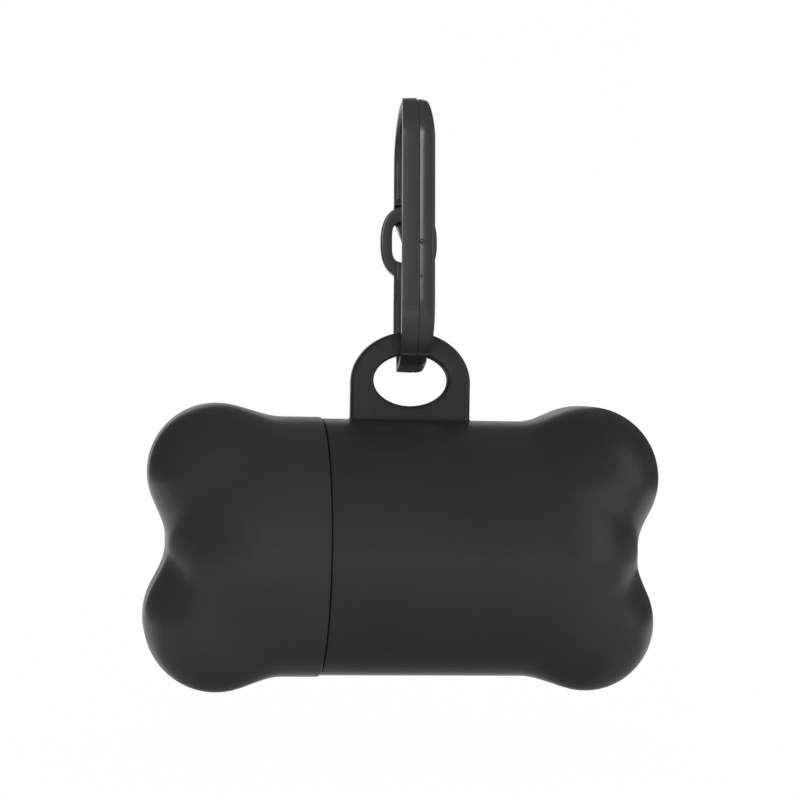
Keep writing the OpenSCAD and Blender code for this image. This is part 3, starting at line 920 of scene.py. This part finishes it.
# Stage and light
REFLECT_FROM = 0.002
REFLECT_FADE = 0.004
REFLECT_LEVEL = 0.8
STAGE_SIDE = 240.0
STAGE_TOP = 560.0
PAPER_GLOW = 0.985
WORLD_LEVEL = 0.1
SIDE_GLOW = 0.8
KICKER_PLACE = (-0.2, -0.28, 0.21)
KICKER_POWER = 0.9
CARD_X = LUG_X + 4.0
CARD_Y = 30.0
CARD_HALF = 9.0
CARD_GLOW = 0.06


def white_stage_material():
    """Pale matte paper that the camera sees as white, that reflects as white from behind the object and
    that keeps a soft shadow."""
    material, nodes, links, shader = node_material("paper")
    place = nodes.new("ShaderNodeTexCoord").outputs["Object"]
    grain = noise(nodes, links, place, 400, 2.0)
    links.new(colour_between(nodes, links, grain.outputs["Fac"], (0.80, 0.80, 0.80), (0.83, 0.83, 0.83)),
              shader.inputs["Base Color"])
    shader.inputs["Roughness"].default_value = 0.9
    shader.inputs["Specular IOR Level"].default_value = 0.1
    path = nodes.new("ShaderNodeLightPath")
    apart = nodes.new("ShaderNodeSeparateXYZ")
    links.new(place, apart.inputs[0])
    behind = nodes.new("ShaderNodeMapRange")
    behind.inputs["From Min"].default_value = REFLECT_FROM
    behind.inputs["From Max"].default_value = REFLECT_FROM + REFLECT_FADE
    links.new(apart.outputs["Y"], behind.inputs["Value"])
    reflected = math_node(nodes, links, "MAXIMUM", path.outputs["Is Glossy Ray"], path.outputs["Is Transmission Ray"])
    reflected = math_node(nodes, links, "MULTIPLY", reflected, behind.outputs["Result"])
    reflected = math_node(nodes, links, "MULTIPLY", reflected, REFLECT_LEVEL)
    seen = math_node(nodes, links, "MAXIMUM", path.outputs["Is Camera Ray"], reflected)
    portion = math_node(nodes, links, "MULTIPLY", seen, PAPER_GLOW)
    glow = nodes.new("ShaderNodeEmission")
    glow.inputs["Strength"].default_value = 1.0
    mix = nodes.new("ShaderNodeMixShader")
    links.new(portion, mix.inputs["Fac"])
    links.new(shader.outputs["BSDF"], mix.inputs[1])
    links.new(glow.outputs["Emission"], mix.inputs[2])
    links.new(mix.outputs["Shader"], nodes["Material Output"].inputs["Surface"])
    return material


def math_node(nodes, links, operation, first, second):
    """One sum of two values, where the second may be a plain number."""
    node = nodes.new("ShaderNodeMath")
    node.operation = operation
    links.new(first, node.inputs[0])
    if isinstance(second, float):
        node.inputs[1].default_value = second
    else:
        links.new(second, node.inputs[1])
    return node.outputs[0]


def add_stage(material):
    """A floor under the hanging part that curves up into a backdrop behind it."""
    floor_z = cad_box[0][2] * 1000 - 6.0
    back_y = 900.0
    radius = 250.0
    profile = [[-900.0, floor_z]]
    for i in range(17):
        a = pi / 2 * i / 16
        profile.append([back_y - radius + radius * sin(a), floor_z + radius - radius * cos(a)])
    profile.append([back_y, floor_z + STAGE_TOP])
    points = [[x, y, z] for x in (-STAGE_SIDE, STAGE_SIDE) for y, z in profile]
    n = len(profile)
    faces = [[i, i + 1, n + i + 1, n + i] for i in range(n - 1)]
    stage = make_mesh("stage", np.array(points) + HANG, faces, 80)
    paint(stage, material)


def add_shade_card():
    """A dim card behind the lug that only mirrored rays meet, so that the clip's bar mirrors no white ground."""
    material, nodes, links, shader = node_material("shade_card")
    shader.inputs["Base Color"].default_value = (0, 0, 0, 1)
    shader.inputs["Specular IOR Level"].default_value = 0.0
    shader.inputs["Emission Color"].default_value = (1, 1, 1, 1)
    shader.inputs["Emission Strength"].default_value = CARD_GLOW
    points = [[CARD_X + x, CARD_Y, z] for x, z in ((-CARD_HALF, 2), (CARD_HALF, 2), (CARD_HALF, 35), (-CARD_HALF, 35))]
    card = make_mesh("shade_card", np.array(points), [[0, 1, 2, 3]], 80)
    paint(card, material)
    for kind in ("camera", "diffuse", "transmission", "shadow"):
        setattr(card, "visible_" + kind, False)


def area_light(name, place, aim, width, height, power, glossy=True):
    data = bpy.data.lights.new(name, "AREA")
    data.shape = "RECTANGLE"
    data.size = width
    data.size_y = height
    data.energy = power
    light = bpy.data.objects.new(name, data)
    light.location = place
    light.rotation_euler = (Vector(aim) - Vector(place)).to_track_quat("-Z", "Y").to_euler()
    light.visible_glossy = glossy
    bpy.context.scene.collection.objects.link(light)
    return light


def add_lights(clip_pieces):
    """A front and a top light for the whole, and a small one at the left that only the clip mirrors."""
    middle = tuple(metres([0.0, 0.0, 10.0]))
    area_light("front", (-0.1, -0.8, 0.1), middle, 0.45, 0.45, 4.1, False)
    area_light("top", (0.0, 0.0, 0.8), middle, 0.8, 0.8, 0.3, False)
    area_light("back", (0.15, 0.6, 0.5), middle, 0.45, 0.45, 2.2, False)
    kicker = area_light("kicker", KICKER_PLACE, (0, 0, -0.02), 0.2, 0.2, KICKER_POWER)
    kicker.light_linking.receiver_collection = collection_of("clip_pieces", clip_pieces)
    add_world()


def collection_of(name, pieces):
    collection = bpy.data.collections.new(name)
    for piece in pieces:
        collection.objects.link(piece)
    return collection


def soft_glow(nodes, links, turn, wide, tall, level):
    """A soft bright patch of the surroundings, at a turn from the front to the right."""
    flattened = nodes.new("ShaderNodeVectorMath")
    flattened.operation = "MULTIPLY"
    flattened.inputs[1].default_value = (1, 1, 1 / tall)
    links.new(nodes.new("ShaderNodeTexCoord").outputs["Generated"], flattened.inputs[0])
    unit = nodes.new("ShaderNodeVectorMath")
    unit.operation = "NORMALIZE"
    links.new(flattened.outputs["Vector"], unit.inputs[0])
    towards = nodes.new("ShaderNodeVectorMath")
    towards.operation = "DOT_PRODUCT"
    towards.inputs[1].default_value = (sin(radians(turn)), -cos(radians(turn)), 0)
    links.new(unit.outputs["Vector"], towards.inputs[0])
    glow = nodes.new("ShaderNodeMapRange")
    glow.interpolation_type = "SMOOTHSTEP"
    glow.inputs["From Min"].default_value = cos(radians(wide))
    glow.inputs["From Max"].default_value = 1.0
    glow.inputs["To Max"].default_value = level
    links.new(towards.outputs["Value"], glow.inputs["Value"])
    return glow.outputs["Result"]


def add_world():
    """Dim surroundings with a tall soft glow at the right, which the camera sees as white."""
    world = bpy.data.worlds.new("world")
    bpy.context.scene.world = world
    world.use_nodes = True
    nodes, links = world.node_tree.nodes, world.node_tree.links
    background = nodes["Background"]
    right = soft_glow(nodes, links, 63.0, 30.0, 2.5, SIDE_GLOW)
    dim = math_node(nodes, links, "ADD", right, WORLD_LEVEL)
    seen = nodes.new("ShaderNodeLightPath").outputs["Is Camera Ray"]
    strength = math_node(nodes, links, "MAXIMUM", dim, seen)
    links.new(strength, background.inputs["Strength"])
    background.inputs["Color"].default_value = (1, 1, 1, 1)


# Assembly
add_camera()

body = body_shell()
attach(body, "dispenser")
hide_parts("body_shell")

cap = cap_shell()
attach(cap, "cap")
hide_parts("cap_shell")

clip = clip_frame()
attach(clip, "clip")
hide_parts("clip_frame")

gate = clip_gate()
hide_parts("clip_gate")
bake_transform(gate)

bags = winding()
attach(bags, "roll")
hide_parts(*[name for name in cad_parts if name.startswith("bag_")])

film = film_end()
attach(film, "dispenser")
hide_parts("leading_bag")

shell_black = black_plastic("shell_plastic", (0.029, 0.029, 0.0292), (0.033, 0.033, 0.0332), 0.4, 5200, 0.00004, 0.2)
# Painted light: the cap's plastic is the shell's plastic made about a sixth lighter, standing in for the brighter
# light that falls on the cap's end of the bone.
cap_painted_light_black = black_plastic("cap_plastic_painted_light", (0.034, 0.034, 0.0342), (0.039, 0.039, 0.0392), 0.4, 5200, 0.00004, 0.2)
clip_black = black_plastic("clip_plastic", (0.031, 0.031, 0.031), (0.035, 0.035, 0.035), 0.3, 3600, 0.00002, 0.3)
film_black = film_material()
paint(body, shell_black)
paint(cap, cap_painted_light_black)
for piece in (clip, gate):
    paint(piece, clip_black)
for piece in (bags, film):
    paint(piece, film_black)
paint(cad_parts["roll_core"], cardboard_material())

add_stage(white_stage_material())
add_shade_card()
add_lights((clip, gate))
bpy.context.scene.view_settings.view_transform = "Standard"
